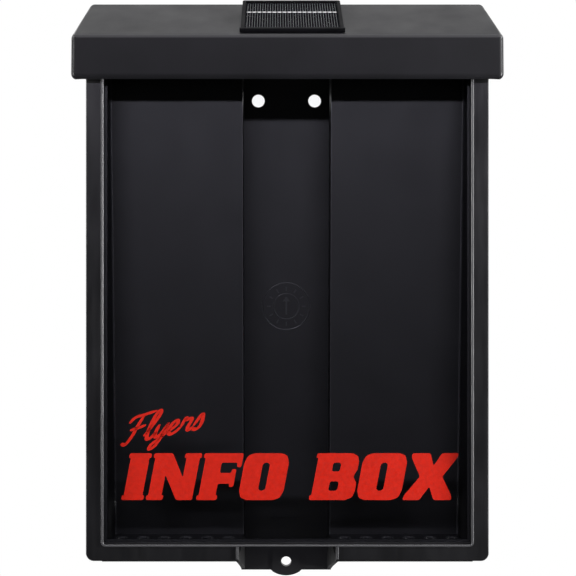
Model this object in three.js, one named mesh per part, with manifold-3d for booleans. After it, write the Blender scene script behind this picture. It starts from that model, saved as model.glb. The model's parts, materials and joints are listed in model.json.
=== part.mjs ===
// Outdoor brochure box for a post: moulded body, clear front window and a lift-up lid with a solar light.
// Millimetres. The origin is on the rear mounting face, midway between the two upper screw holes.
// +Y points into the post, +Z up, and the front of the box faces -Y.

import * as THREE from "three";
import { mergeVertices } from "three/addons/utils/BufferGeometryUtils.js";
import { ConvexGeometry } from "three/addons/geometries/ConvexGeometry.js";
import Module from "manifold-3d";

const wasm = await Module();
wasm.setup();

// ---- driving dimensions ----

const GAP = 0.3;
const WALL = 2.5;
const ARC_SEGMENTS = 12;

// Solids that are joined run this far into each other, and cutters run this far past what they cut.
const LAP = 1;
const PAST = 5;

// The front face leans back: its lower edge is further from the post than its upper edge.
const LEAN = THREE.MathUtils.degToRad(4.8);
const FRONT_Y = -84.0;
const BOTTOM_Z = -287.8;

const BODY_HALF = 124.5;
const BODY_TOP_V = 319;
const CORNER_R = 5;
const FACE_EDGE_R = 1.2;
const BORDER_SIDE = 11;
const BORDER_BOTTOM = 10.4;
const TRAY_HALF = BODY_HALF - BORDER_SIDE;
const BEAD = 1.5;
const BEAD_PROUD = 0.7;
const BEAD_EDGE_R = 0.5;
const OPENING_R = 1.5;
const RIM_DEPTH = 9;
const RIM_WALL = 2;

const WINDOW_T = 2;
const WINDOW_HALF = 115.4;
const WINDOW_TOP_V = 303;
const WINDOW_CORNER_R = 4;
const GROOVE_T = WINDOW_T + 2 * GAP;
const GROOVE_HALF = 115.8;
const GROOVE_FLOOR_V = 11.3;
const RAIL_T = 2.1;
const RAIL_HALF = TRAY_HALF - 1.6;
const RAIL_FOOT_V = 3;
const RAIL_TOP_V = 12.6;
const GROOVE_WALL = 2.5;

const SIDE_FOOT_V = 0.4;
const PANEL_Y = -30;
const PANEL_TOP_Z = 46;
const FLOOR_TOP_Z = -286.2;
const FLOOR_T = 2;
const INNER_CORNER_R = 1.2;
const DRAIN_R = 3;
const DRAIN_COUNT = 6;
const DRAIN_PITCH = 14;
const DRAIN_FIRST_X = 38;
const DRAIN_Y = -41;
const DRAIN_SIDES = 12;

const CHANNEL_HALF = 28.4;
const CHANNEL_TOP_Z = 37.5;
const NOTCH_HALF = 30.2;
const NOTCH_TOP_V = 9.4;
const GUSSET_T = 1.9;
const GUSSET_FOOT_V = 0.5;
const GUSSET_LIP = 0.5;
const GUSSET_STEP = 3;
const TAB_BOTTOM_Z = -320.6;
const LOBE_HALF = 10.7;
const LOBE_DROP = 3.8;
const STRIP_HALF = 9.6;
const STRIP_T = 0.8;
const STRIP_TOP_Z = -284;
const UPPER_HOLE_X = 18.8;
const UPPER_HOLE_R = 4.25;
const LOWER_HOLE_Z = -314.5;
const LOWER_HOLE_R = 3.5;
const HOLE_SIDES = 32;

// Lid: the profile corners are those of the outside with sharp edges, as [y, z].
const LID_FRONT_BOTTOM = [-67.2, 7.5];
const ROOF_FRONT = [-65.0, 35.2];
const ROOF_REAR = [-9.0, 63.9];
const LID_REAR_BOTTOM = [-9.0, 14.0];
const LID_HALF = 132.9;
const LID_DRAFT = 0.005;
const LID_TAPER = 0.067;
const LID_EDGE_R = 3.6;
const BALL_SIDES = 24;
const BALL_RINGS = 12;
const LID_OPEN_BELOW = 12;
const REAR_SKIRT_Z = 46;

const HINGE_BELOW_ROOF = 8;
const HINGE_FROM_REAR = 9.5;
const EAR_R = 4.7;
const EAR_ROOT_Z = 34;
const EAR_FRONT_S = 13;
const EAR_NOTCH_ABOVE = 1.4;
const EAR_NOTCH_BESIDE = 1.2;
const PIN_R = 2;
const PIN_HEAD_R = 3.8;
const PIN_HEAD_T = 1.6;
const PIN_ROOT = 0.5;
const PIN_END_X = 124;
const PIN_HOLE_R = PIN_R + GAP;
const BOSS_R = 5.6;
const BOSS_X = 117;
const BOSS_SHORT = 1.5;

// Solar panel on the roof, in roof coordinates: x, s up the slope, n into the roof.
const SOLAR_X = 3;
const SOLAR_HALF = 31.6;
const SOLAR_S = [2.8, 57.6];
const SOLAR_CORNER_R = 1.6;
const SOLAR_LIP_HALF = 32.3;
const SOLAR_LIP_DEPTH = 1.6;
const SOLAR_TOP_N = -2.8;
const SOLAR_FLOOR_N = -1.2;
const SOLAR_RIM = 2.2;
const LAYER_GAP = 0.1;
const CELL_MARGIN = 0.4;
const CELL_T = 0.4;
const BUSBAR_S = 36.2;
const BUSBAR_W = 1.5;
const BUSBAR_T = 0.2;
const BUSBAR_MARGIN = 0.8;
const LEAD_HOLE_S = 34;
const LEAD_HOLE_R = 4;
const LEAD_HOLE_SIDES = 20;
const TRAY_HOLE_R = 3.5;
const GROMMET_BORE_R = 2.4;
const GROMMET_N = [0.1, 2.9];
const GROMMET_SIDES = 24;
const LEAD_R = 0.6;
const LEAD_X = 1.2;
const LEAD_STEPS = 14;
const LEAD_SIDES = 4;

// The path of a lead from the cell down through the roof and forward over the rib, as [s, n].
const LEAD_PATH = [[34, -1], [34, 1.2], [33.1, 3.4], [30.6, 4.3], [27.5, 4.3], [24.6, 4.1]];

// Light module under the roof.
const HOUSING_HALF = 27.2;
const HOUSING_S = [15, 50];
const HOUSING_N = [3, 17];
const HOUSING_WALL = 1.8;
const RIB_S = [27.8, 31.8];
const RIB_TOP_N = 6;
const TAB_HALF = 36;
const TAB_S = [14.8, 29];
const TAB_N = [7.3, 9.3];
const TAB_SCREW_X = 31.6;
const TAB_SCREWS_S = [18.3, 25.5];
const TAB_BOSS_R = 3.2;
const TAB_PILOT_N = 3.2;
const TAB_SCREW_TIP_N = 3.8;
const SCREW_R = 1;
const SCREW_SIDES = 12;
const SCREW_HEAD_R = 2.4;
const SCREW_HEAD_T = 1.6;
const SCREW_HOLE_R = SCREW_R + GAP;
const RECESS_DEPTH = 0.8;
const RECESS_HALF = 1.5;
const RECESS_HALF_W = 0.3;
const CELL_AXIS = { s: 40, n: 9.2 };
const CELL_R = 5.25;
const CELL_SIDES = 32;
const CELL_X = [-21.5, 23];
const CELL_TIP_R = 1.9;
const CELL_TIP = 0.8;
const CONTACT_T = 0.5;
const CONTACT_HALF = 4;
const CONTACT_N = [4, 14];
const SPRING_TURNS = 3;
const SPRING_WIRE_R = 0.35;
const SPRING_WIDE_R = 4;
const SPRING_NARROW_R = 2.4;
const SPRING_STEPS = 42;
const SPRING_SIDES = 3;
const BAY_S = [32.4, 47.6];
const COVER_T = 1.6;
const COVER_MARGIN = 0.5;
const COVER_SCREW_X = 20;
const COVER_SCREW_S = 29.8;
const COVER_PILOT_N = 9;
const COVER_SCREW_TIP_N = 11;
const BOARD_N = [5, 6.2];
const BOARD_MARGIN = 0.5;
const CHIP_X = [-21.5, -16.5];
const CHIP_S = [20, 24.5];
const CHIP_T = 1.5;
const LED_R = 2.4;
const LED_RIM = 0.5;
const LED_RIM_T = 1;
const LED_BARREL = 4;
const LED_X = [-11, -2, 7];
const LED_S = 22.3;
const LENS_HALF = 16;
const LENS_CENTRE_X = -2;
const LENS_S = [18.8, 25.8];
const LENS_N = [14.8, 16.8];
const SWITCH_X = [16.2, 24.9];
const SWITCH_MARGIN = 1.2;
const SWITCH_BOTTOM_N = 13.4;
const SWITCH_POCKET_N = 11;
const SLOT_X = [17.6, 23.9];
const SLOT_S = [20.9, 24.1];
const SLIDER_W = 2.8;
const SLIDER_N = [11.3, 18.2];
const RIDGE_W = 0.5;
const RIDGE_TOP_N = 18.8;
const RIDGE_DX = [0.25, 1.15, 2.05];

// ---- frames and points ----

const SLOPE = Math.atan2(ROOF_REAR[1] - ROOF_FRONT[1], ROOF_REAR[0] - ROOF_FRONT[0]);
const ROOF_LENGTH = Math.hypot(ROOF_REAR[0] - ROOF_FRONT[0], ROOF_REAR[1] - ROOF_FRONT[1]);

// A group turned by this matrix has x across, y behind the front face and z up the front face.
const FRONT = new THREE.Matrix4().makeRotationX(-LEAN).setPosition(0, FRONT_Y, BOTTOM_Z);

// A group turned by this matrix has x across, y up the roof's slope and z out of the roof.
const ROOF = new THREE.Matrix4().makeRotationX(SLOPE).setPosition(0, ROOF_FRONT[0], ROOF_FRONT[1]);

function frontPoint(w, v) {
  return [
    FRONT_Y + v * Math.sin(LEAN) + w * Math.cos(LEAN),
    BOTTOM_Z + v * Math.cos(LEAN) - w * Math.sin(LEAN),
  ];
}

function roofPoint(s, n) {
  return [
    ROOF_FRONT[0] + s * Math.cos(SLOPE) + n * Math.sin(SLOPE),
    ROOF_FRONT[1] + s * Math.sin(SLOPE) - n * Math.cos(SLOPE),
  ];
}

const HINGE = roofPoint(ROOF_LENGTH - HINGE_FROM_REAR, HINGE_BELOW_ROOF);

// ---- solids ----

function solid(geometry, place) {
  const shape = geometry.clone();
  if (place) {
    shape.applyMatrix4(place);
  }
  shape.deleteAttribute("normal");
  shape.deleteAttribute("uv");
  const merged = mergeVertices(shape, 1e-4);
  return new wasm.Manifold(new wasm.Mesh({
    numProp: 3,
    vertProperties: new Float32Array(merged.attributes.position.array),
    triVerts: new Uint32Array(merged.index.array),
  }));
}

function geometryOf(manifold) {
  const mesh = manifold.getMesh();
  const geometry = new THREE.BufferGeometry();
  geometry.setAttribute("position", new THREE.BufferAttribute(new Float32Array(mesh.vertProperties), 3));
  geometry.setIndex(new THREE.BufferAttribute(new Uint32Array(mesh.triVerts), 1));
  geometry.computeVertexNormals();
  return geometry;
}

function boxGeometry([x0, x1], [y0, y1], [z0, z1]) {
  const geometry = new THREE.BoxGeometry(x1 - x0, y1 - y0, z1 - z0);
  return geometry.translate((x0 + x1) / 2, (y0 + y1) / 2, (z0 + z1) / 2);
}

function box(x, y, z, place) {
  return solid(boxGeometry(x, y, z), place);
}

// A box in roof coordinates, with n measured into the roof.
function roofBox(x, s, [n0, n1]) {
  return box(x, s, [-n1, -n0], ROOF);
}

function outline(points) {
  return new THREE.Shape(points.map(([a, b]) => new THREE.Vector2(a, b)));
}

function extruded(shape, depth) {
  return new THREE.ExtrudeGeometry(shape, { depth, bevelEnabled: false, curveSegments: ARC_SEGMENTS });
}

// Extrudes an outline drawn in (y, z) from x0 to x1.
function prismX(shape, [x0, x1], place) {
  const geometry = extruded(shape, x1 - x0);
  geometry.applyMatrix4(new THREE.Matrix4().set(0, 0, 1, x0, 1, 0, 0, 0, 0, 1, 0, 0, 0, 0, 0, 1));
  return solid(geometry, place);
}

// Extrudes an outline drawn in (x, z) from y0 to y1.
function prismY(shape, [y0, y1], place) {
  const geometry = extruded(shape, y1 - y0);
  geometry.rotateX(Math.PI / 2).translate(0, y1, 0);
  return solid(geometry, place);
}

// The same with both ends' edges rounded inwards by r.
function softPrismY(shape, [y0, y1], r, place) {
  const geometry = new THREE.ExtrudeGeometry(shape, {
    depth: y1 - y0 - 2 * r,
    bevelThickness: r,
    bevelSize: r,
    bevelOffset: -r,
    bevelSegments: 3,
    curveSegments: ARC_SEGMENTS,
  });
  geometry.rotateX(Math.PI / 2).translate(0, y1 - r, 0);
  return solid(geometry, place);
}

// Extrudes an outline drawn in (x, y) from z0 to z1.
function prismZ(shape, [z0, z1], place) {
  const geometry = extruded(shape, z1 - z0);
  geometry.translate(0, 0, z0);
  return solid(geometry, place);
}

function rodX(r, [x0, x1], [y, z], segments = 24) {
  const geometry = new THREE.CylinderGeometry(r, r, x1 - x0, segments);
  return solid(geometry.rotateZ(Math.PI / 2).translate((x0 + x1) / 2, y, z));
}

function rodY(r, [y0, y1], [x, z], segments = 24) {
  return solid(new THREE.CylinderGeometry(r, r, y1 - y0, segments).translate(x, (y0 + y1) / 2, z));
}

function rodZ(r, [z0, z1], [x, y], place, segments = 20) {
  const geometry = new THREE.CylinderGeometry(r, r, z1 - z0, segments);
  return solid(geometry.rotateX(Math.PI / 2).translate(x, y, (z0 + z1) / 2), place);
}

// A rod square to the roof at (x, s), from depth n0 to n1.
function roofRod(r, [n0, n1], [x, s], segments = 16) {
  return rodZ(r, [-n1, -n0], [x, s], ROOF, segments);
}

function mirrored(part) {
  return part.add(part.mirror([1, 0, 0]));
}

function joined(parts) {
  return parts.reduce((whole, part) => whole.add(part));
}

function cut(whole, holes) {
  return holes.reduce((rest, hole) => rest.subtract(hole), whole);
}

// ---- body ----

// A U open at the top, in (x, v): both uprights and the lower bar of a frame.
function frameU(half, bottom, radius, innerHalf, innerBottom, innerRadius, top) {
  const shape = new THREE.Shape();
  shape.moveTo(-half, top);
  shape.lineTo(-half, bottom + radius);
  shape.absarc(-half + radius, bottom + radius, radius, Math.PI, 1.5 * Math.PI, false);
  shape.lineTo(half - radius, bottom);
  shape.absarc(half - radius, bottom + radius, radius, 1.5 * Math.PI, 2 * Math.PI, false);
  shape.lineTo(half, top);
  shape.lineTo(innerHalf, top);
  shape.lineTo(innerHalf, innerBottom + innerRadius);
  shape.absarc(innerHalf - innerRadius, innerBottom + innerRadius, innerRadius, 0, -0.5 * Math.PI, true);
  shape.lineTo(-innerHalf + innerRadius, innerBottom);
  shape.absarc(innerRadius - innerHalf, innerBottom + innerRadius, innerRadius, 1.5 * Math.PI, Math.PI, true);
  shape.lineTo(-innerHalf, top);
  shape.closePath();
  return shape;
}

function frontFlange() {
  const top = BODY_TOP_V;
  const beadBottom = BORDER_BOTTOM - BEAD;
  const face = frameU(BODY_HALF, 0, CORNER_R, TRAY_HALF, BORDER_BOTTOM, OPENING_R, top);
  const rim = frameU(BODY_HALF, 0, CORNER_R, BODY_HALF - RIM_WALL, RIM_WALL, CORNER_R - RIM_WALL, top);
  const beadR = OPENING_R + BEAD;
  const bead = frameU(TRAY_HALF + BEAD, beadBottom, beadR, TRAY_HALF, BORDER_BOTTOM, OPENING_R, top);
  const besideNotch = outline([
    [NOTCH_HALF, FACE_EDGE_R],
    [NOTCH_HALF + BEAD, FACE_EDGE_R],
    [NOTCH_HALF + BEAD, BORDER_BOTTOM],
    [NOTCH_HALF, BORDER_BOTTOM],
  ]);
  return joined([
    softPrismY(face, [0, WALL], FACE_EDGE_R, FRONT),
    prismY(rim, [FACE_EDGE_R, RIM_DEPTH], FRONT),
    softPrismY(bead, [-BEAD_PROUD, WALL], BEAD_EDGE_R, FRONT),
    mirrored(softPrismY(besideNotch, [-BEAD_PROUD, WALL], BEAD_EDGE_R, FRONT)),
  ]);
}

// The slot that the window slides down into, behind the flange, and the rail behind it.
function grooveWalls() {
  const back = WALL + GROOVE_T + RAIL_T;
  const outer = GROOVE_HALF + GROOVE_WALL;
  const top = BODY_TOP_V - LAP;
  return joined([
    mirrored(box([TRAY_HALF, outer], [LAP, back], [LAP, top], FRONT)),
    mirrored(box([RAIL_HALF, TRAY_HALF + LAP], [WALL + GROOVE_T, back], [RAIL_FOOT_V, top], FRONT)),
    box([-outer, outer], [LAP, back], [NOTCH_TOP_V, GROOVE_FLOOR_V], FRONT),
    box([-outer, outer], [WALL + GROOVE_T, back], [NOTCH_TOP_V, RAIL_TOP_V], FRONT),
    mirrored(box([NOTCH_HALF, outer], [LAP, back], [LAP, GROOVE_FLOOR_V], FRONT)),
  ]);
}

function windowSlot() {
  const across = [-GROOVE_HALF, GROOVE_HALF];
  return box(across, [WALL, WALL + GROOVE_T], [GROOVE_FLOOR_V, BODY_TOP_V + PAST], FRONT);
}

// One side of the tray with its hinge ear, as an outline in (y, z).
function sideWallOutline() {
  const under = HINGE_BELOW_ROOF - EAR_R;
  const shape = outline([
    frontPoint(LAP, SIDE_FOOT_V),
    frontPoint(LAP, BODY_TOP_V),
    roofPoint(EAR_FRONT_S, under),
    roofPoint(ROOF_LENGTH - HINGE_FROM_REAR, under),
  ]);
  const start = Math.PI / 2 + SLOPE;
  shape.absarc(HINGE[0], HINGE[1], EAR_R, start, start - Math.PI, true);
  shape.lineTo(PANEL_Y, EAR_ROOT_Z);
  shape.lineTo(PANEL_Y, FLOOR_TOP_Z - FLOOR_T);
  shape.closePath();
  return shape;
}

function sideWalls() {
  return mirrored(prismX(sideWallOutline(), [TRAY_HALF, TRAY_HALF + WALL]));
}

function rearPanels() {
  const z = [FLOOR_TOP_Z - FLOOR_T, PANEL_TOP_Z];
  return mirrored(box([CHANNEL_HALF, TRAY_HALF + LAP], [PANEL_Y - WALL, PANEL_Y], z));
}

// A rounded inner corner between each side wall and its rear panel.
function innerCorners() {
  const r = INNER_CORNER_R;
  const y = PANEL_Y - WALL;
  const plan = new THREE.Shape();
  plan.moveTo(TRAY_HALF - r, y + LAP);
  plan.lineTo(TRAY_HALF - r, y);
  plan.absarc(TRAY_HALF - r, y - r, r, Math.PI / 2, 0, true);
  plan.lineTo(TRAY_HALF + LAP, y - r);
  plan.lineTo(TRAY_HALF + LAP, y + LAP);
  plan.closePath();
  return mirrored(prismZ(plan, [FLOOR_TOP_Z - LAP, PANEL_TOP_Z]));
}

function channel() {
  const outer = CHANNEL_HALF + WALL;
  const z = [FLOOR_TOP_Z - FLOOR_T, CHANNEL_TOP_Z];
  return joined([
    mirrored(box([CHANNEL_HALF, outer], [PANEL_Y - WALL, -LAP], z)),
    prismY(tabOutline(outer), [-WALL, 0]),
  ]);
}

// The channel's rear wall runs on below the floor as the screw tab, with a round lobe under its hole.
function tabOutline(half) {
  const radius = (LOBE_HALF ** 2 + LOBE_DROP ** 2) / (2 * LOBE_DROP);
  const centre = TAB_BOTTOM_Z - LOBE_DROP + radius;
  const angle = Math.asin(LOBE_HALF / radius);
  const shape = new THREE.Shape();
  shape.moveTo(-half, CHANNEL_TOP_Z);
  shape.lineTo(-half, TAB_BOTTOM_Z);
  shape.lineTo(-LOBE_HALF, TAB_BOTTOM_Z);
  shape.absarc(0, centre, radius, -Math.PI / 2 - angle, -Math.PI / 2 + angle, false);
  shape.lineTo(half, TAB_BOTTOM_Z);
  shape.lineTo(half, CHANNEL_TOP_Z);
  shape.closePath();
  return shape;
}

function tabStrip() {
  const plate = prismY(tabOutline(CHANNEL_HALF), [-WALL - STRIP_T, -LAP]);
  return plate.intersect(box([-STRIP_HALF, STRIP_HALF], [-PAST, 0], [TAB_BOTTOM_Z - PAST, STRIP_TOP_Z]));
}

function floorPlates() {
  const y = [frontPoint(LAP, 0)[0], PANEL_Y - LAP];
  return mirrored(box([CHANNEL_HALF, TRAY_HALF + LAP], y, [FLOOR_TOP_Z - FLOOR_T, FLOOR_TOP_Z]));
}

// The opening in the floor and the lower border that a screwdriver reaches the tab's screw through.
function notchOpening() {
  const plan = outline([
    [-NOTCH_HALF, FRONT_Y - PAST],
    [NOTCH_HALF, FRONT_Y - PAST],
    [CHANNEL_HALF, PANEL_Y - WALL],
    [CHANNEL_HALF, -WALL],
    [-CHANNEL_HALF, -WALL],
    [-CHANNEL_HALF, PANEL_Y - WALL],
  ]);
  return prismZ(plan, [TAB_BOTTOM_Z, frontPoint(0, NOTCH_TOP_V)[1]]);
}

// Walls beside that opening, which slope down from the front face to the foot of the tab.
function gussets() {
  const outer = CHANNEL_HALF + WALL;
  const back = WALL + GROOVE_T + RAIL_T;
  const plan = outline([
    [NOTCH_HALF, FRONT_Y],
    [NOTCH_HALF + GUSSET_T, FRONT_Y],
    [outer, PANEL_Y],
    [outer, -LAP],
    [CHANNEL_HALF, -LAP],
    [CHANNEL_HALF, PANEL_Y - WALL],
  ]);
  const side = outline([
    frontPoint(GUSSET_FOOT_V, GUSSET_FOOT_V),
    frontPoint(GUSSET_FOOT_V, NOTCH_TOP_V + GUSSET_LIP),
    frontPoint(back, NOTCH_TOP_V + GUSSET_LIP),
    [frontPoint(back, 0)[0] + GUSSET_STEP, FLOOR_TOP_Z],
    [-LAP, FLOOR_TOP_Z],
    [-LAP, TAB_BOTTOM_Z],
  ]);
  const wall = prismZ(plan, [TAB_BOTTOM_Z, CHANNEL_TOP_Z]).intersect(prismX(side, [0, BODY_HALF]));
  return mirrored(wall);
}

function drainHoles() {
  const holes = [];
  for (let i = 0; i < DRAIN_COUNT; i++) {
    const x = DRAIN_FIRST_X + i * DRAIN_PITCH;
    const depth = [FLOOR_TOP_Z - PAST, FLOOR_TOP_Z + PAST];
    holes.push(mirrored(rodZ(DRAIN_R, depth, [x, DRAIN_Y], null, DRAIN_SIDES)));
  }
  return holes;
}

function bodyShell() {
  const walls = [sideWalls(), rearPanels(), innerCorners(), channel(), floorPlates()];
  const shell = joined([frontFlange(), grooveWalls(), ...walls]);
  const open = cut(shell, [notchOpening(), windowSlot(), ...drainHoles()]);
  return cut(joined([open, gussets(), tabStrip()]), [
    mirrored(rodY(UPPER_HOLE_R, [-PAST, PAST], [UPPER_HOLE_X, 0], HOLE_SIDES)),
    rodY(LOWER_HOLE_R, [-PAST, PAST], [0, LOWER_HOLE_Z], HOLE_SIDES),
    mirrored(rodX(PIN_HOLE_R, [TRAY_HALF - PAST, TRAY_HALF + PAST], HINGE)),
  ]);
}

function frontWindow() {
  const bottom = GROOVE_FLOOR_V + GAP;
  const r = WINDOW_CORNER_R;
  const shape = new THREE.Shape();
  shape.moveTo(-WINDOW_HALF, bottom);
  shape.lineTo(WINDOW_HALF, bottom);
  shape.lineTo(WINDOW_HALF, WINDOW_TOP_V - r);
  shape.absarc(WINDOW_HALF - r, WINDOW_TOP_V - r, r, 0, Math.PI / 2, false);
  shape.lineTo(-WINDOW_HALF + r, WINDOW_TOP_V);
  shape.absarc(-WINDOW_HALF + r, WINDOW_TOP_V - r, r, Math.PI / 2, Math.PI, false);
  shape.closePath();
  return prismY(shape, [WALL + GAP, WALL + GAP + WINDOW_T], FRONT);
}

function hingePin() {
  const head = TRAY_HALF - GAP - PIN_HEAD_T;
  const shank = rodX(PIN_R, [head + PIN_ROOT, PIN_END_X], HINGE);
  return rodX(PIN_HEAD_R, [head, TRAY_HALF - GAP], HINGE).add(shank);
}

// ---- lid ----

// The lid is a little narrower towards its top and its rear.
function lidHalfWidth(y, z) {
  return LID_HALF - LID_DRAFT * (z - LID_FRONT_BOTTOM[1]) - LID_TAPER * (y - LID_FRONT_BOTTOM[0]);
}

// Moves every edge of a convex outline, listed clockwise, inwards by the same distance.
function inset(points, distance) {
  return points.map((corner, i) => {
    const before = points.at(i - 1);
    const after = points[(i + 1) % points.length];
    const a = Math.atan2(corner[1] - before[1], corner[0] - before[0]);
    const b = Math.atan2(after[1] - corner[1], after[0] - corner[0]);
    const turn = Math.atan2(Math.sin(b - a), Math.cos(b - a)) / 2;
    const reach = distance / Math.cos(turn);
    const angle = a + turn - Math.PI / 2;
    return [corner[0] + Math.cos(angle) * reach, corner[1] + Math.sin(angle) * reach];
  });
}

// The convex body through all the points, as wide at each as the lid less the given margin.
function lidHull(points, margin, radius) {
  const ball = radius ? new THREE.SphereGeometry(radius, BALL_SIDES, BALL_RINGS).attributes.position : null;
  const corners = [];
  for (const [y, z] of points) {
    const half = lidHalfWidth(y, z) - margin;
    for (const x of [-half, half]) {
      const centre = new THREE.Vector3(x, y, z);
      if (!ball) {
        corners.push(centre);
        continue;
      }
      for (let i = 0; i < ball.count; i++) {
        corners.push(new THREE.Vector3().fromBufferAttribute(ball, i).add(centre));
      }
    }
  }
  return solid(new ConvexGeometry(corners));
}

function lidOutside() {
  const profile = [LID_FRONT_BOTTOM, ROOF_FRONT, ROOF_REAR, LID_REAR_BOTTOM];
  return lidHull(inset(profile, LID_EDGE_R), LID_EDGE_R, LID_EDGE_R);
}

function lidInside() {
  const slope = (ROOF_FRONT[0] - LID_FRONT_BOTTOM[0]) / (ROOF_FRONT[1] - LID_FRONT_BOTTOM[1]);
  const profile = [
    [LID_FRONT_BOTTOM[0] - slope * LID_OPEN_BELOW, LID_FRONT_BOTTOM[1] - LID_OPEN_BELOW],
    ROOF_FRONT,
    ROOF_REAR,
    [LID_REAR_BOTTOM[0], LID_REAR_BOTTOM[1] - LID_OPEN_BELOW],
  ];
  return lidHull(inset(profile, WALL), WALL, 0);
}

// The rear stays open below the short rear skirt, and the skirt is notched for the body's hinge ears.
function rearOpenings() {
  const y = [ROOF_REAR[0] - WALL - LAP, ROOF_REAR[0] + PAST];
  const below = LID_REAR_BOTTOM[1] - PAST;
  const lower = lidHalfWidth(ROOF_REAR[0] - WALL, below) - WALL;
  const upper = lidHalfWidth(ROOF_REAR[0] - WALL, REAR_SKIRT_Z) - WALL;
  const opening = outline([[-lower, below], [lower, below], [upper, REAR_SKIRT_Z], [-upper, REAR_SKIRT_Z]]);
  const notchX = [TRAY_HALF - PIN_HEAD_T - EAR_NOTCH_BESIDE, BOSS_X];
  const notchZ = [REAR_SKIRT_Z - PAST, HINGE[1] + EAR_R + EAR_NOTCH_ABOVE];
  return [prismY(opening, y), mirrored(box(notchX, y, notchZ))];
}

function lidShell() {
  const bossEnd = lidHalfWidth(HINGE[0], HINGE[1]) - BOSS_SHORT;
  const shell = cut(lidOutside().subtract(lidInside()), rearOpenings());
  const bossN = [LAP, TAB_N[0] - GAP];
  const screwBosses = TAB_SCREWS_S.map((s) => mirrored(roofRod(TAB_BOSS_R, bossN, [TAB_SCREW_X, s])));
  const pilotN = [TAB_PILOT_N, TAB_N[0] + LAP];
  const pilots = TAB_SCREWS_S.map((s) => mirrored(roofRod(SCREW_HOLE_R, pilotN, [TAB_SCREW_X, s])));
  const whole = joined([shell, mirrored(rodX(BOSS_R, [BOSS_X, bossEnd], HINGE)), ...screwBosses]);
  return cut(whole, [
    mirrored(rodX(PIN_HOLE_R, [BOSS_X - LAP, PIN_END_X + GAP], HINGE)),
    roofRod(LEAD_HOLE_R, [-PAST, PAST], [SOLAR_X, LEAD_HOLE_S], LEAD_HOLE_SIDES),
    ...pilots,
  ]);
}

// ---- solar panel ----

// The tray's outline, with its rear corners rounded.
function solarOutline() {
  const r = SOLAR_CORNER_R;
  const [left, right] = [SOLAR_X - SOLAR_HALF, SOLAR_X + SOLAR_HALF];
  const shape = new THREE.Shape();
  shape.moveTo(left, SOLAR_S[0]);
  shape.lineTo(right, SOLAR_S[0]);
  shape.lineTo(right, SOLAR_S[1] - r);
  shape.absarc(right - r, SOLAR_S[1] - r, r, 0, Math.PI / 2, false);
  shape.lineTo(left + r, SOLAR_S[1]);
  shape.absarc(left + r, SOLAR_S[1] - r, r, Math.PI / 2, Math.PI, false);
  shape.closePath();
  return shape;
}

function solarTray() {
  const n = [SOLAR_TOP_N, -GAP];
  const inner = [SOLAR_X - SOLAR_HALF + SOLAR_RIM, SOLAR_X + SOLAR_HALF - SOLAR_RIM];
  const s = [SOLAR_S[0] + SOLAR_RIM, SOLAR_S[1] - SOLAR_RIM];
  const lipX = [SOLAR_X - SOLAR_LIP_HALF, SOLAR_X + SOLAR_LIP_HALF];
  const lip = roofBox(lipX, [SOLAR_S[0], SOLAR_S[0] + SOLAR_LIP_DEPTH], n);
  return cut(prismZ(solarOutline(), [-n[1], -n[0]], ROOF).add(lip), [
    roofBox(inner, s, [SOLAR_TOP_N - LAP, SOLAR_FLOOR_N]),
    roofRod(TRAY_HOLE_R, [-PAST, PAST], [SOLAR_X, LEAD_HOLE_S], LEAD_HOLE_SIDES),
  ]);
}

// A layer laid in the tray's recess.
function solarLayer(margin, n) {
  const half = SOLAR_HALF - SOLAR_RIM - margin;
  const s = [SOLAR_S[0] + SOLAR_RIM + margin, SOLAR_S[1] - SOLAR_RIM - margin];
  return roofBox([SOLAR_X - half, SOLAR_X + half], s, n);
}

const CELL_N = [SOLAR_FLOOR_N - LAYER_GAP - CELL_T, SOLAR_FLOOR_N - LAYER_GAP];
const BUSBAR_N = [CELL_N[0] - LAYER_GAP - BUSBAR_T, CELL_N[0] - LAYER_GAP];

function solarBusbar() {
  const half = SOLAR_HALF - SOLAR_RIM - BUSBAR_MARGIN;
  const s = [BUSBAR_S - BUSBAR_W / 2, BUSBAR_S + BUSBAR_W / 2];
  return roofBox([SOLAR_X - half, SOLAR_X + half], s, BUSBAR_N);
}

function leadGrommet() {
  const outer = LEAD_HOLE_R - GAP;
  const [n0, n1] = GROMMET_N;
  const bore = GROMMET_BORE_R;
  const profile = [[bore, -n1], [outer, -n1], [outer, -n0], [bore, -n0], [bore, -n1]];
  const geometry = new THREE.LatheGeometry(profile.map(([r, h]) => new THREE.Vector2(r, h)), GROMMET_SIDES);
  geometry.rotateX(Math.PI / 2).translate(SOLAR_X, LEAD_HOLE_S, 0);
  return solid(geometry, ROOF);
}

// A round wire of radius r along a curve.
function wire(curve, r, steps, curveSegments, place) {
  const section = new THREE.Shape().absarc(0, 0, r, 0, 2 * Math.PI, false);
  return solid(new THREE.ExtrudeGeometry(section, { steps, curveSegments, extrudePath: curve }), place);
}

function lead(side) {
  const x = SOLAR_X + side * LEAD_X;
  const path = new THREE.CatmullRomCurve3(LEAD_PATH.map(([s, n]) => new THREE.Vector3(x, s, -n)));
  return wire(path, LEAD_R, LEAD_STEPS, LEAD_SIDES, ROOF);
}

// ---- light module ----

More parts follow.
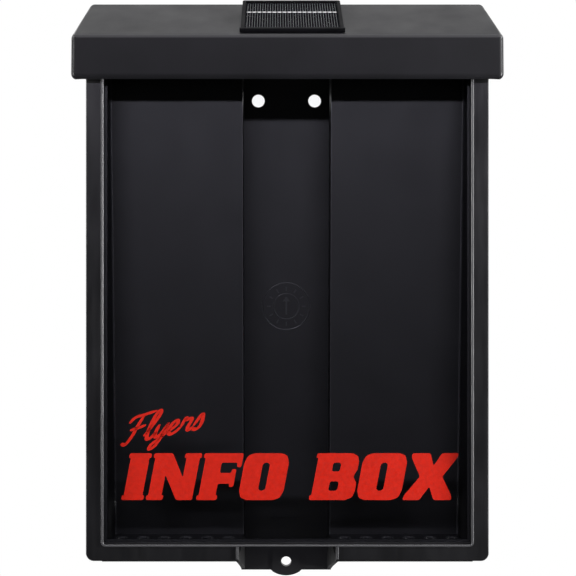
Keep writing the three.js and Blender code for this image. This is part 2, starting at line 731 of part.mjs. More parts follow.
function lightHousing() {
  const inner = HOUSING_HALF - HOUSING_WALL;
  const floor = HOUSING_N[1] - HOUSING_WALL;
  const bays = [[HOUSING_S[0] + HOUSING_WALL, RIB_S[0]], [RIB_S[1], HOUSING_S[1] - HOUSING_WALL]];
  const through = [floor - LAP, HOUSING_N[1] + LAP];
  const tabs = mirrored(roofBox([HOUSING_HALF - LAP, TAB_HALF], TAB_S, TAB_N));
  const tabHoleN = [TAB_N[0] - LAP, TAB_N[1] + LAP];
  const hollows = bays.map((s) => roofBox([-inner, inner], s, [0, floor]));
  const solidPart = roofBox([-HOUSING_HALF, HOUSING_HALF], HOUSING_S, HOUSING_N).add(tabs);
  return cut(solidPart, [
    ...hollows,
    roofBox([-inner, inner], [RIB_S[0] - LAP, RIB_S[1] + LAP], [0, RIB_TOP_N]),
    roofBox([-inner + LAP, inner - LAP], BAY_S, through),
    roofBox([LENS_CENTRE_X - LENS_HALF, LENS_CENTRE_X + LENS_HALF], LENS_S, through),
    roofBox(SLOT_X, SLOT_S, through),
    mirrored(roofRod(SCREW_HOLE_R, [COVER_PILOT_N, HOUSING_N[1] + LAP], [COVER_SCREW_X, COVER_SCREW_S])),
    ...TAB_SCREWS_S.map((s) => mirrored(roofRod(SCREW_HOLE_R, tabHoleN, [TAB_SCREW_X, s]))),
  ]);
}

const COVER_N = [HOUSING_N[1] + GAP, HOUSING_N[1] + GAP + COVER_T];

function batteryCover() {
  const s = [RIB_S[0] - COVER_MARGIN, HOUSING_S[1] - COVER_MARGIN];
  const half = HOUSING_HALF - COVER_MARGIN;
  const hole = roofRod(SCREW_HOLE_R, [COVER_N[0] - LAP, COVER_N[1] + LAP], [COVER_SCREW_X, COVER_SCREW_S]);
  return roofBox([-half, half], s, COVER_N).subtract(mirrored(hole));
}

function ledLens() {
  const half = LENS_HALF - GAP;
  const s = [LENS_S[0] + GAP, LENS_S[1] - GAP];
  return roofBox([LENS_CENTRE_X - half, LENS_CENTRE_X + half], s, LENS_N);
}

function circuitBoard() {
  const half = HOUSING_HALF - HOUSING_WALL - BOARD_MARGIN;
  const s = [HOUSING_S[0] + HOUSING_WALL + BOARD_MARGIN, RIB_S[0] - BOARD_MARGIN];
  return roofBox([-half, half], s, BOARD_N);
}

// A round lamp standing under the board: a rim, a barrel and a domed tip.
function lamp(x) {
  const top = BOARD_N[1] + GAP;
  const barrel = top + LED_BARREL;
  const dome = new THREE.SphereGeometry(LED_R, 16, 12);
  dome.translate(x, LED_S, -barrel);
  return joined([
    roofRod(LED_R + LED_RIM, [top, top + LED_RIM_T], [x, LED_S]),
    roofRod(LED_R, [top, barrel], [x, LED_S]),
    solid(dome, ROOF),
  ]);
}

function controlChip() {
  return roofBox(CHIP_X, CHIP_S, [BOARD_N[1] + GAP, BOARD_N[1] + GAP + CHIP_T]);
}

function switchBody() {
  const s = [SLOT_S[0] - SWITCH_MARGIN, SLOT_S[1] + SWITCH_MARGIN];
  const pocket = roofBox(SLOT_X, SLOT_S, [SWITCH_POCKET_N, SWITCH_BOTTOM_N + LAP]);
  return roofBox(SWITCH_X, s, [BOARD_N[1] + GAP, SWITCH_BOTTOM_N]).subtract(pocket);
}

function switchSlider() {
  const x = [SLOT_X[0] + GAP, SLOT_X[0] + GAP + SLIDER_W];
  const s = [SLOT_S[0] + GAP, SLOT_S[1] - GAP];
  const ridgeN = [SLIDER_N[1] - LAP / 2, RIDGE_TOP_N];
  const ridges = RIDGE_DX.map((dx) => roofBox([x[0] + dx, x[0] + dx + RIDGE_W], s, ridgeN));
  return joined([roofBox(x, s, SLIDER_N), ...ridges]);
}

const BAY_AXIS = roofPoint(CELL_AXIS.s, CELL_AXIS.n);

function batteryCell() {
  const tip = rodX(CELL_TIP_R, [CELL_X[1] - LAP, CELL_X[1] + CELL_TIP], BAY_AXIS);
  return rodX(CELL_R, CELL_X, BAY_AXIS, CELL_SIDES).add(tip);
}

function batteryContact() {
  const x = CELL_X[1] + CELL_TIP + GAP;
  const s = [CELL_AXIS.s - CONTACT_HALF, CELL_AXIS.s + CONTACT_HALF];
  return roofBox([x, x + CONTACT_T], s, CONTACT_N);
}

function batterySpring() {
  const start = -(HOUSING_HALF - HOUSING_WALL) + GAP + SPRING_WIRE_R;
  const end = CELL_X[0] - GAP - SPRING_WIRE_R;
  class Coil extends THREE.Curve {
    getPoint(t, target = new THREE.Vector3()) {
      const angle = 2 * Math.PI * SPRING_TURNS * t;
      const r = SPRING_WIDE_R + (SPRING_NARROW_R - SPRING_WIDE_R) * t;
      const x = start + (end - start) * t;
      return target.set(x, BAY_AXIS[0] + r * Math.cos(angle), BAY_AXIS[1] + r * Math.sin(angle));
    }
  }
  return wire(new Coil(), SPRING_WIRE_R, SPRING_STEPS, SPRING_SIDES);
}

// A pan-head screw driven up towards the roof, with a cross recess in its head.
function screw(x, s, seat, tip) {
  const head = [seat + GAP, seat + GAP + SCREW_HEAD_T];
  const recess = [head[1] - RECESS_DEPTH, head[1] + LAP];
  const shank = roofRod(SCREW_R, [tip, head[0] + LAP / 2], [x, s], SCREW_SIDES);
  return cut(roofRod(SCREW_HEAD_R, head, [x, s]).add(shank), [
    roofBox([x - RECESS_HALF, x + RECESS_HALF], [s - RECESS_HALF_W, s + RECESS_HALF_W], recess),
    roofBox([x - RECESS_HALF_W, x + RECESS_HALF_W], [s - RECESS_HALF, s + RECESS_HALF], recess),
  ]);
}

// ---- materials and scene graph ----

function material(color, roughness, metalness = 0, opacity = 1) {
  return new THREE.MeshStandardMaterial({ color, roughness, metalness, opacity, transparent: opacity < 1 });
}

const FINISH = {
  shell: material(0x141417, 0.35),
  lid: material(0x18181b, 0.5),
  clear: material(0xdfe8ee, 0.05, 0, 0.2),
  steel: material(0xb8babd, 0.35, 1),
  cell: material(0x0a0b12, 0.25),
  silver: material(0xc9ccd0, 0.3, 1),
  rubber: material(0x111111, 0.9),
  board: material(0x1c5a33, 0.5),
  chip: material(0x0c0c0c, 0.5),
  lamp: material(0xf4f4ee, 0.1, 0, 0.6),
  battery: material(0x2f7d46, 0.4),
  slider: material(0xd8d8d8, 0.4),
  red: material(0xb01810, 0.5),
  black: material(0x101010, 0.5),
};

const model = new THREE.Group();
model.name = "brochure_box";

function place(name, manifold, finish, group) {
  const mesh = new THREE.Mesh(geometryOf(manifold), finish);
  mesh.name = name;
  group.add(mesh);
}

const body = new THREE.Group();
place("body_shell", bodyShell(), FINISH.shell, body);
place("front_window", frontWindow(), FINISH.clear, body);
place("hinge_pin_right", hingePin(), FINISH.steel, body);
place("hinge_pin_left", hingePin().mirror([1, 0, 0]), FINISH.steel, body);

const lid = new THREE.Group();
place("lid_shell", lidShell(), FINISH.lid, lid);
place("solar_tray", solarTray(), FINISH.shell, lid);
place("solar_cell", solarLayer(CELL_MARGIN, CELL_N), FINISH.cell, lid);
place("solar_busbar", solarBusbar(), FINISH.silver, lid);
place("solar_cover", solarLayer(GAP, [SOLAR_TOP_N, BUSBAR_N[0] - LAYER_GAP]), FINISH.clear, lid);
place("lead_grommet", leadGrommet(), FINISH.rubber, lid);
place("wire_red", lead(-1), FINISH.red, lid);
place("wire_black", lead(1), FINISH.black, lid);
place("light_housing", lightHousing(), FINISH.shell, lid);
place("battery_cover", batteryCover(), FINISH.shell, lid);
place("led_lens", ledLens(), FINISH.clear, lid);
place("circuit_board", circuitBoard(), FINISH.board, lid);
place("control_chip", controlChip(), FINISH.chip, lid);
LED_X.forEach((x, i) => place(`led_${i + 1}`, lamp(x), FINISH.lamp, lid));
place("battery_cell", batteryCell(), FINISH.battery, lid);
place("battery_contact", batteryContact(), FINISH.steel, lid);
place("battery_spring", batterySpring(), FINISH.steel, lid);
place("switch_body", switchBody(), FINISH.chip, lid);
place("switch_slider", switchSlider(), FINISH.slider, lid);

let screwNumber = 0;
for (const side of [-1, 1]) {
  for (const s of TAB_SCREWS_S) {
    screwNumber += 1;
    const tabScrew = screw(side * TAB_SCREW_X, s, TAB_N[1], TAB_SCREW_TIP_N);
    place(`housing_screw_${screwNumber}`, tabScrew, FINISH.steel, lid);
  }
  const coverScrew = screw(side * COVER_SCREW_X, COVER_SCREW_S, COVER_N[1], COVER_SCREW_TIP_N);
  place(side < 0 ? "cover_screw_1" : "cover_screw_2", coverScrew, FINISH.steel, lid);
}

model.add(body, lid);

export default model;
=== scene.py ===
import json
import math

import bmesh
import bpy
from mathutils import Matrix, Vector


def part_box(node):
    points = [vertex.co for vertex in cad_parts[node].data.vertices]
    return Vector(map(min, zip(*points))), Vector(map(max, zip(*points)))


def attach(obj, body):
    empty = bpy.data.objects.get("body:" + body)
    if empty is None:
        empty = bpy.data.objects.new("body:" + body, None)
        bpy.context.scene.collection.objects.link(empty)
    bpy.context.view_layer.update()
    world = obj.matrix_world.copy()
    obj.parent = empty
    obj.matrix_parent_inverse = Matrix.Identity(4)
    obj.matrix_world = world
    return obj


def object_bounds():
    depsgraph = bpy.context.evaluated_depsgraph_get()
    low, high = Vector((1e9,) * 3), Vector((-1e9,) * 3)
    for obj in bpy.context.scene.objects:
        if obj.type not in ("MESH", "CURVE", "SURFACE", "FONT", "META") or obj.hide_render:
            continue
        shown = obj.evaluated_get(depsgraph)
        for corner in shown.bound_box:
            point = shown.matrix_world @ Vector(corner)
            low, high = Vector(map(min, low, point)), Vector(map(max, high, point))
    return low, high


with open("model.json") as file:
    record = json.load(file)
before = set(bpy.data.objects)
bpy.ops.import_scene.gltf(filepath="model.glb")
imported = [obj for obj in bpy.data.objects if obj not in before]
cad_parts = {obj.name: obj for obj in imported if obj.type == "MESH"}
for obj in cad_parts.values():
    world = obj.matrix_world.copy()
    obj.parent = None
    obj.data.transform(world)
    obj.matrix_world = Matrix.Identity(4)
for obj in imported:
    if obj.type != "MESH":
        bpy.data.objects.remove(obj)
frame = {"nodes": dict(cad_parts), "record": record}
CAD_BOX = [list(corner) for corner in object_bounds()]
NODES = frame["nodes"]
MM = 0.001

# ---- driving values, in metres unless a line says otherwise ----

# The window's place in the box's leaning front: how far behind the front face, and how far up it.
WINDOW_BEHIND = 2.8 * MM
WINDOW_BOTTOM = 11.6 * MM

# The camera stands square to the front. Lens and sensor are in millimetres, the shift in picture widths.
CAMERA_X = -7 * MM
CAMERA_UP = 168.75 * MM
CAMERA_AWAY = 0.7
CAMERA_LENS = 70.9
CAMERA_SENSOR = 36
CAMERA_SHIFT = 1 / 48

FLOOR_BELOW = 0.62
FLOOR_RADIUS = 7.0
FLOOR_SIDES = 96

# The studio around the box: how bright each part is, and between which values of a direction it comes up.
SKY_LEVELS = {"overhead": 8.5, "back_high": 2.2, "back_low": 1.6, "all_round": 0.05}
OVERHEAD_RISE = (0.88, 1.0)
BEHIND_RISE = (-0.05, 0.6)
BAND_RISE = (0.2, 0.7)
GROUND_RISE = (-0.6, 0.0)
GROUND_LEVEL = 0.1

# Area lights: a low wide strip in front above, and a tall narrow box at each side.
WHITE = (1.0, 1.0, 1.0)
LIGHTS = {
    "key": {"place": (0.0, -0.83, 0.27), "target": (0.0, 0.0, -0.1), "size": (1.0, 0.03),
            "power": 4.7, "colour": (0.88, 0.85, 1.0)},
    "right": {"place": (0.80, -0.22, -0.1), "target": (0.1, -0.08, -0.1), "size": (0.12, 0.8),
              "power": 24.0, "colour": WHITE},
    "left": {"place": (-0.80, -0.22, -0.1), "target": (-0.1, -0.08, -0.1), "size": (0.12, 0.8),
             "power": 11.0, "colour": WHITE},
}

# Edges of the solid nodes: joined corners, flattened faces and a small round. Angles are in degrees.
WELD_DISTANCE = 0.002 * MM
FLAT_ANGLE = 0.6
SHARP_ANGLE = 25
EDGE_SEGMENTS = 2
FACE_WEIGHT = 80
EDGE_WIDTH = 0.12 * MM
EDGE_WIDTHS = {
    "body_shell": 0.5 * MM, "lid_shell": 0.5 * MM, "light_housing": 0.4 * MM, "battery_cover": 0.4 * MM,
    "solar_tray": 0.35 * MM, "front_window": 0.25 * MM, "led_lens": 0.2 * MM, "battery_cell": 0.4 * MM,
}

# Solar cell's printed fingers: across, up the slope and out of the roof.
FINGER_COUNT = 36
FINGER_PITCH = 1.6 * MM
FINGER_WIDTH = 0.26 * MM
FINGER_HEIGHT = 0.08 * MM
FINGER_SUNK = -0.02 * MM
CELL_EDGE = 0.8 * MM

# Words on the window: the place of each, and the heavy letters' outlines and holes for a height of 1.
PRINT_T = 0.1 * MM
PRINT_GAP = 0.02 * MM
BIG_X = (-103.0 * MM, 107.0 * MM)
BIG_UP = (37.4 * MM, 66.4 * MM)
BIG_SLANT = 0.2
BIG_CORNER_R = 0.045
LETTER_GAP = 0.05
WORD_GAP = 0.55
CORNER_STEPS = 3
CORNER_SHARE = 0.45      # the most of a side that a rounded corner takes
BIG_WORDS = "INFO BOX"
LETTERS = {
    "I": (0.50, [[(0, 0), (0.5, 0), (0.5, 0.1), (0.46, 0.1), (0.46, 0.9), (0.5, 0.9), (0.5, 1), (0, 1),
                  (0, 0.9), (0.04, 0.9), (0.04, 0.1), (0, 0.1)]]),
    "N": (1.08, [[(0, 0), (0.38, 0), (0.38, 0.1), (0.34, 0.1), (0.34, 0.54), (0.68, 0), (1.04, 0),
                  (1.04, 0.9), (1.08, 0.9), (1.08, 1), (0.7, 1), (0.7, 0.9), (0.74, 0.9), (0.74, 0.48),
                  (0.42, 1), (0, 1), (0, 0.9), (0.04, 0.9), (0.04, 0.1), (0, 0.1)]]),
    "F": (0.88, [[(0, 0), (0.46, 0), (0.46, 0.1), (0.42, 0.1), (0.42, 0.35), (0.68, 0.35), (0.68, 0.28),
                  (0.78, 0.28), (0.78, 0.66), (0.68, 0.66), (0.68, 0.58), (0.42, 0.58), (0.42, 0.8),
                  (0.78, 0.8), (0.78, 0.7), (0.88, 0.7), (0.88, 1), (0, 1), (0, 0.9), (0.04, 0.9),
                  (0.04, 0.1), (0, 0.1)]]),
    "O": (1.00, [[(0.2, 0), (0.8, 0), (0.94, 0.05), (1, 0.2), (1, 0.8), (0.94, 0.95), (0.8, 1),
                  (0.2, 1), (0.06, 0.95), (0, 0.8), (0, 0.2), (0.06, 0.05)],
                 [(0.42, 0.24), (0.47, 0.2), (0.53, 0.2), (0.58, 0.24), (0.58, 0.76), (0.53, 0.8),
                  (0.47, 0.8), (0.42, 0.76)]]),
    "B": (1.00, [[(0, 0), (0.82, 0), (0.96, 0.06), (1, 0.18), (1, 0.36), (0.9, 0.51), (0.97, 0.64),
                  (0.97, 0.82), (0.93, 0.94), (0.8, 1), (0, 1), (0, 0.9), (0.04, 0.9), (0.04, 0.1),
                  (0, 0.1)],
                 [(0.4, 0.2), (0.57, 0.2), (0.6, 0.24), (0.6, 0.36), (0.57, 0.4), (0.4, 0.4)],
                 [(0.4, 0.61), (0.55, 0.61), (0.58, 0.65), (0.58, 0.76), (0.55, 0.8), (0.4, 0.8)]]),
    "X": (1.10, [[(0, 0), (0.38, 0), (0.55, 0.29), (0.7, 0), (1.1, 0), (1.08, 0.1), (0.8, 0.5),
                  (1.06, 0.9), (1.08, 1), (0.7, 1), (0.56, 0.73), (0.44, 1), (0.03, 1), (0.04, 0.9),
                  (0.3, 0.5), (0.02, 0.1)]]),
}

# The small word as brush strokes, upright and for a capital's height of 1; it is slanted and rises.
SMALL_X = (-103.5 * MM, -51.0 * MM)
SMALL_LOW = 71.0 * MM
SMALL_CAP = 16.5 * MM
SMALL_SLANT = 0.35
SMALL_RISE = 0.22
STROKE_HALF = 0.055
STROKE_TIP = 0.55        # a stroke's width at its ends, as a share of the full width
STROKE_TAPER = 3         # rows from an end to the full width
CURVE_STEPS = 6
STROKES = [
    [(0.34, 0.93), (0.28, 0.6), (0.24, 0.28), (0.14, 0.0), (0.0, 0.08)],
    [(0.0, 0.76), (0.1, 0.93), (0.36, 0.97), (0.68, 1.02)],
    [(0.1, 0.5), (0.3, 0.52), (0.52, 0.57)],
    [(0.6, 0.16), (0.74, 0.52), (0.83, 0.86), (0.77, 1.0), (0.69, 0.82), (0.67, 0.36), (0.73, 0.04),
     (0.85, 0.07), (0.94, 0.24)],
    [(0.94, 0.48), (0.92, 0.2), (0.98, 0.04), (1.1, 0.12), (1.2, 0.48)],
    [(1.2, 0.48), (1.15, 0.02), (1.06, -0.3), (0.94, -0.36), (0.93, -0.22), (1.1, -0.04), (1.28, 0.14)],
    [(1.28, 0.16), (1.43, 0.26), (1.48, 0.4), (1.4, 0.49), (1.31, 0.37), (1.3, 0.14), (1.4, 0.02),
     (1.53, 0.09), (1.62, 0.22)],
    [(1.62, 0.2), (1.67, 0.5), (1.72, 0.43), (1.82, 0.45), (1.87, 0.38), (1.84, 0.14), (1.9, 0.03),
     (2.0, 0.13)],
    [(2.0, 0.14), (2.12, 0.52), (2.2, 0.3), (2.2, 0.08), (2.1, 0.0), (2.0, 0.07)],
]

# Places inside the body, from the solid model.
CHANNEL_HALF = 28.4 * MM
PANEL_FACE = -32.5 * MM
CHANNEL_WALL = -2.5 * MM
FLOOR_Z = -286.2 * MM
DRAIN_FIRST = 38.0 * MM
DRAIN_PITCH = 14.0 * MM
DRAIN_Y = -41.0 * MM
DRAIN_R = 3.0 * MM

# Mould mark on the channel's rear wall: two rings, ticks and an arrow.
MARK_Z = -137.8 * MM
MARK_HEIGHT = 0.3 * MM
MARK_RINGS = (            # radius, width, height
    (15.9 * MM, 0.9 * MM, 0.35 * MM),
    (8.6 * MM, 0.7 * MM, 0.3 * MM),
)
RING_STEPS = 72
RING_PROFILE = ((-0.5, 0.0), (-0.38, 0.62), (0.0, 1.0), (0.38, 0.62), (0.5, 0.0))
MARK_TICKS = 12
TICK_START = 10.6 * MM
TICK_LENGTH = 2.6 * MM
TICK_HALF = 0.4 * MM
ARROW_HALF = 0.6 * MM
ARROW_LOW = -5.5 * MM
ARROW_LENGTH = 9 * MM
HEAD_HALF = 2.4 * MM
HEAD_LOW = 3.4 * MM
HEAD_TIP = 6.6 * MM

# Noise textures of the finishes: scale per metre, detail, and stretch along x, y and z.
SHELL_TONE = (35, 3)
FRAME_STREAKS = (160, 4, (1, 1, 0.12))
FRAME_BLOTCHES = (110, 3, (1, 1, 0.16))
INSIDE_CLOUDS = (30, 4, (1, 1, 0.5))
SHELL_GRAIN = (2500, 2)
LID_TONE = (30, 3)
LID_SATIN = (45, 4, (1, 1, 0.5))
LID_WAVE = (60, 1)
LID_GRAIN = (2800, 2)
TRAY_TONE = (35, 3)
TRAY_GLOSS = (60, 4, (1, 1, 0.35))
TRAY_WAVE = (90, 1, (1, 1, 0.4))
TRAY_GRAIN = (1 / (0.3 * MM), 2)
SMALL_TONE = (400, 3)
SMALL_GLOSS = (700, 3)
SMALL_GRAIN = (1 / (0.4 * MM), 2)
BOARD_GLOSS = (300, 2)
SLEEVE_GLOSS = (500, 3)
RESIN_GLOSS = (90, 3)
RESIN_WAVE = (120, 2)
SHEET_GLOSS = (40, 3)
NOISE_RANGE = (0.3, 0.7)       # most of a noise lies between these

# Heights of the bumps.
BLOTCH_DEPTH = 0.05 * MM
SHELL_GRAIN_DEPTH = 0.003 * MM
LID_WAVE_DEPTH = 0.03 * MM
LID_GRAIN_DEPTH = 0.012 * MM
TRAY_WAVE_DEPTH = 0.02 * MM
SMALL_GRAIN_DEPTH = 0.004 * MM
RESIN_WAVE_DEPTH = 0.02 * MM
TRACK_HEIGHT = 0.03 * MM

# The body's and lid's black plastic. Colours are linear, and a roughness is its least and most.
SHELL_DARK, SHELL_LIGHT = (0.005, 0.005, 0.0055), (0.009, 0.009, 0.010)
FRAME_ROUGH = (0.28, 0.42)
FRAME_TILT = math.tan(math.radians(7.5))
INSIDE_ROUGH = (0.50, 0.60)
INSIDE_BEHIND = (2.2 * MM, 3.4 * MM)
LID_DARK, LID_LIGHT = (0.0045, 0.0045, 0.0055), (0.0070, 0.0069, 0.0085)
LID_ROUGH = (0.56, 0.66)
LID_LEVEL = 0.14
LID_POLISHED = 0.3
LID_SIDE = (129.2 * MM, 130.6 * MM)
# Colour of the painted highlight where the closed lid turns over to its roof.
LID_PAINTED_HIGHLIGHT = (0.040, 0.040, 0.041)
LID_TURN_UP = (0.05, 0.30)     # how far up a normal points where the closed lid's painted highlight starts
LID_TURN_OVER = (0.70, 0.86)   # and where it ends

# Painted highlights on the body's edges: their colour and roughness, and how far from each edge the painted
# highlight reaches.
PAINTED_HIGHLIGHT = (0.052, 0.052, 0.054)
HIGHLIGHT_ROUGH = 0.35
BEAD_AHEAD = (-0.45 * MM, -0.1 * MM)
CHANNEL_EDGE = (0.5 * MM, 0.7 * MM)
CORNER_ACROSS = (112.0 * MM, 112.6 * MM)
CORNER_HIGHLIGHT = 0.7
CORNER_AHEAD = 0.5 * MM
CORNER_DEEP = 0.9 * MM
RIM_OUT = 0.3 * MM
RIM_HALF = 0.9 * MM
RIM_DEEP = 1.0 * MM
NEAR_FULL, NEAR_NONE = 0.6, 1.2

# The solar panel's tray and printed silver.
TRAY_DARK, TRAY_LIGHT = (0.0035, 0.0035, 0.004), (0.006, 0.006, 0.007)
TRAY_ROUGH = (0.5, 0.62)
TRAY_LEVEL = 0.01
SILVER_DULL, SILVER_BRIGHT = (0.10, 0.10, 0.10), (0.42, 0.42, 0.42)
SILVER_ROUGH = (0.3, 0.5)
SILVER_METAL = 0.6
DASH_PERIOD = 2 * FINGER_PITCH
DASH_WANDER = 0.6
DASH_RISE = (0.25, 0.6)
WAVE_BANDS = 3.18              # bands that the wave texture has in 1 m at scale 1

# The circuit board, the battery's sleeve and the clear parts.
TRACK_SCALE = 260
TRACK_WIDTH = 0.045
TRACK_LENGTH = 0.9
BOARD_DARK, BOARD_LIGHT = (0.008, 0.085, 0.028), (0.03, 0.2, 0.07)
BOARD_ROUGH = (0.25, 0.4)
SLEEVE_DARK, SLEEVE_COPPER, BARE_METAL = (0.012, 0.05, 0.025), (0.55, 0.25, 0.08), (0.7, 0.7, 0.72)
SLEEVE_ROUGH = (0.2, 0.4)
SLEEVE_BAND = 0.68             # share of the cell's length that is dark
BARE_END = 1.4 * MM
CLEAR_BODY = (0.02, 0.02, 0.022)
RESIN_SPREAD = (0.7, 1.5)
SHEET_SPREAD = (0.7, 1.6)
SMALL_SPREAD = (0.8, 1.25)
SMALL_DARKER = 0.8


# ---- the two leaning frames of the box ----

def corner_points(node):
    """The corners of a tilted flat plate: its frontmost point and its highest point, at x = 0."""
    points = [v.co for v in NODES[node].data.vertices]
    front = min(points, key=lambda p: (round(p.y, 6), p.z))
    top = max(points, key=lambda p: (round(p.z, 6), -p.y))
    return Vector((0, front.y, front.z)), Vector((0, top.y, top.z))


def leaning_frame(node):
    """Origin and the two in-plane unit vectors of a plate that leans about X: up it, and out of it."""
    low, high = corner_points(node)
    up = (high - low).normalized()
    out = Vector((1, 0, 0)).cross(up).normalized()
    return low, up, out


WINDOW_LOW, FRONT_UP, FRONT_OUT = leaning_frame("front_window")
if FRONT_OUT.y > 0:
    FRONT_OUT = -FRONT_OUT
CELL_LOW, ROOF_UP, ROOF_OUT = leaning_frame("solar_cell")
if ROOF_OUT.z < 0:
    ROOF_OUT = -ROOF_OUT


def front_point(x, behind, up):
    """A point given across, behind the front face and up it."""
    return (Vector((x, 0, 0)) + WINDOW_LOW + FRONT_UP * (up - WINDOW_BOTTOM)
            - FRONT_OUT * (behind - WINDOW_BEHIND))


def cell_point(x, s, h):
    """A point given across, up the roof's slope from the solar cell's front edge, and above its face."""
    return Vector((x, 0, 0)) + CELL_LOW + ROOF_UP * s + ROOF_OUT * h


# ---- small helpers for meshes ----

def new_object(name, mesh, body, material):
    """A piece that rides on a body and takes the given material."""
    piece = bpy.data.objects.new(name, mesh)
    bpy.context.scene.collection.objects.link(piece)
    mesh.materials.clear()
    mesh.materials.append(material)
    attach(piece, body)


def mesh_from(name, build):
    """Runs build(bm) on an empty bmesh and returns the mesh it makes."""
    bm = bmesh.new()
    build(bm)
    bmesh.ops.recalc_face_normals(bm, faces=bm.faces)
    mesh = bpy.data.meshes.new(name)
    bm.to_mesh(mesh)
    bm.free()
    return mesh


def add_box(bm, corner, across, up, out):
    """A box from a corner and its three edge vectors."""
    points = []
    for k in range(8):
        place = corner.copy()
        place += across * (k & 1) + up * (k >> 1 & 1) + out * (k >> 2 & 1)
        points.append(bm.verts.new(place))
    for face in ((0, 1, 3, 2), (4, 6, 7, 5), (0, 4, 5, 1), (2, 3, 7, 6), (0, 2, 6, 4), (1, 5, 7, 3)):
        bm.faces.new([points[k] for k in face])


def add_ring(bm, centre, right, up, out, radius, width, height):
    """A raised ring with a half-round top, on a plane."""
    rows = []
    for i in range(RING_STEPS):
        angle = 2 * math.pi * i / RING_STEPS
        away = right * math.cos(angle) + up * math.sin(angle)
        rows.append([bm.verts.new(centre + away * (radius + a * width) + out * (h * height))
                     for a, h in RING_PROFILE])
    for i in range(RING_STEPS):
        row, after = rows[i], rows[(i + 1) % RING_STEPS]
        for k in range(len(RING_PROFILE)):
            j = (k + 1) % len(RING_PROFILE)
            bm.faces.new((row[k], row[j], after[j], after[k]))


# ---- small helpers for materials ----

def empty_material(name):
    material = bpy.data.materials.new(name)
    material.use_nodes = True
    material.node_tree.nodes.clear()
    return material, material.node_tree, material.node_tree.nodes.new("ShaderNodeOutputMaterial")


def node_material(name):
    material, tree, output = empty_material(name)
    shader = tree.nodes.new("ShaderNodeBsdfPrincipled")
    tree.links.new(shader.outputs[0], output.inputs[0])
    return material, tree, shader


def put(tree, value, socket):
    """Feeds a socket from another socket, a colour or a number."""
    if isinstance(value, bpy.types.NodeSocket):
        tree.links.new(value, socket)
    elif isinstance(value, tuple):
        socket.default_value = (*value, 1)
    else:
        socket.default_value = value


def object_place(tree):
    """The place of a point in metres, which stays with the part when a joint moves."""
    return tree.nodes.new("ShaderNodeTexCoord").outputs["Object"]


def place_axes(tree):
    """The three coordinates of a point, in metres."""
    split = tree.nodes.new("ShaderNodeSeparateXYZ")
    tree.links.new(object_place(tree), split.inputs[0])
    return split.outputs["X"], split.outputs["Y"], split.outputs["Z"]


def noise(tree, scale, detail, stretch=(1, 1, 1)):
    mapping = tree.nodes.new("ShaderNodeMapping")
    mapping.inputs["Scale"].default_value = stretch
    tree.links.new(object_place(tree), mapping.inputs["Vector"])
    texture = tree.nodes.new("ShaderNodeTexNoise")
    texture.inputs["Scale"].default_value = scale
    texture.inputs["Detail"].default_value = detail
    tree.links.new(mapping.outputs["Vector"], texture.inputs["Vector"])
    return texture.outputs["Fac"]


def remap(tree, value, span, low, high, curve="LINEAR"):
    """Takes the start of the span to low and its end to high, and holds beyond them."""
    node = tree.nodes.new("ShaderNodeMapRange")
    node.interpolation_type = curve
    node.inputs["From Min"].default_value, node.inputs["From Max"].default_value = span
    node.inputs["To Min"].default_value = low
    node.inputs["To Max"].default_value = high
    tree.links.new(value, node.inputs["Value"])
    return node.outputs["Result"]


def smooth_step(tree, value, span, low, high):
    return remap(tree, value, span, low, high, "SMOOTHSTEP")


def uneven(tree, texture, low, high):
    """A value that a noise texture moves between low and high."""
    return remap(tree, noise(tree, *texture), NOISE_RANGE, low, high)


def calculate(tree, operation, a, b=0.0):
    """One math node; a is a socket, and b a socket or a number."""
    node = tree.nodes.new("ShaderNodeMath")
    node.operation = operation
    put(tree, a, node.inputs[0])
    put(tree, b, node.inputs[1])
    return node.outputs[0]


def near(tree, value, centre, half):
    """1 close to centre, falling to 0 about half away from it."""
    away = calculate(tree, "ABSOLUTE", calculate(tree, "SUBTRACT", value, centre))
    return smooth_step(tree, away, (half * NEAR_FULL, half * NEAR_NONE), 1.0, 0.0)


def mixed(tree, kind, factor, a, b):
    """a where the factor is 0 and b where it is 1; kind is FLOAT, VECTOR or RGBA."""
    node = tree.nodes.new("ShaderNodeMix")
    node.data_type = kind
    tree.links.new(factor, node.inputs["Factor"])
    put(tree, a, node.inputs["A"])
    put(tree, b, node.inputs["B"])
    return node.outputs["Result"]


def bump(tree, height, distance, below=None):
    node = tree.nodes.new("ShaderNodeBump")
    node.inputs["Strength"].default_value = 1.0
    node.inputs["Distance"].default_value = distance
    tree.links.new(height, node.inputs["Height"])
    if below is not None:
        tree.links.new(below, node.inputs["Normal"])
    return node.outputs["Normal"]


def leaned(tree, tilt, below):
    """Shading normals turned down a little, as on a face that sank slightly when it was moulded."""
    return bump(tree, place_axes(tree)[2], tilt, below)


# ---- the body's and the lid's plastic ----

def behind_front(tree):
    """Distance behind the box's leaning front face, in metres."""
    offset = tree.nodes.new("ShaderNodeVectorMath")
    offset.operation = "SUBTRACT"
    tree.links.new(object_place(tree), offset.inputs[0])
    offset.inputs[1].default_value = front_point(0, 0, 0)
    along = tree.nodes.new("ShaderNodeVectorMath")
    along.operation = "DOT_PRODUCT"
    tree.links.new(offset.outputs["Vector"], along.inputs[0])
    along.inputs[1].default_value = -FRONT_OUT
    return along.outputs["Value"]


def drain_rims(tree, across, y, z):
    """1 on the rims of the row of drain holes in the floor."""
    step = calculate(tree, "SUBTRACT", across, DRAIN_FIRST - DRAIN_PITCH / 2)
    along = calculate(tree, "SUBTRACT", calculate(tree, "MODULO", step, DRAIN_PITCH), DRAIN_PITCH / 2)
    deep = calculate(tree, "SUBTRACT", y, DRAIN_Y)
    square = calculate(tree, "ADD", calculate(tree, "MULTIPLY", along, along),
                       calculate(tree, "MULTIPLY", deep, deep))
    rim = near(tree, calculate(tree, "SQRT", square), DRAIN_R + RIM_OUT, RIM_HALF)
    return calculate(tree, "MULTIPLY", rim, near(tree, z, FLOOR_Z, RIM_DEEP))


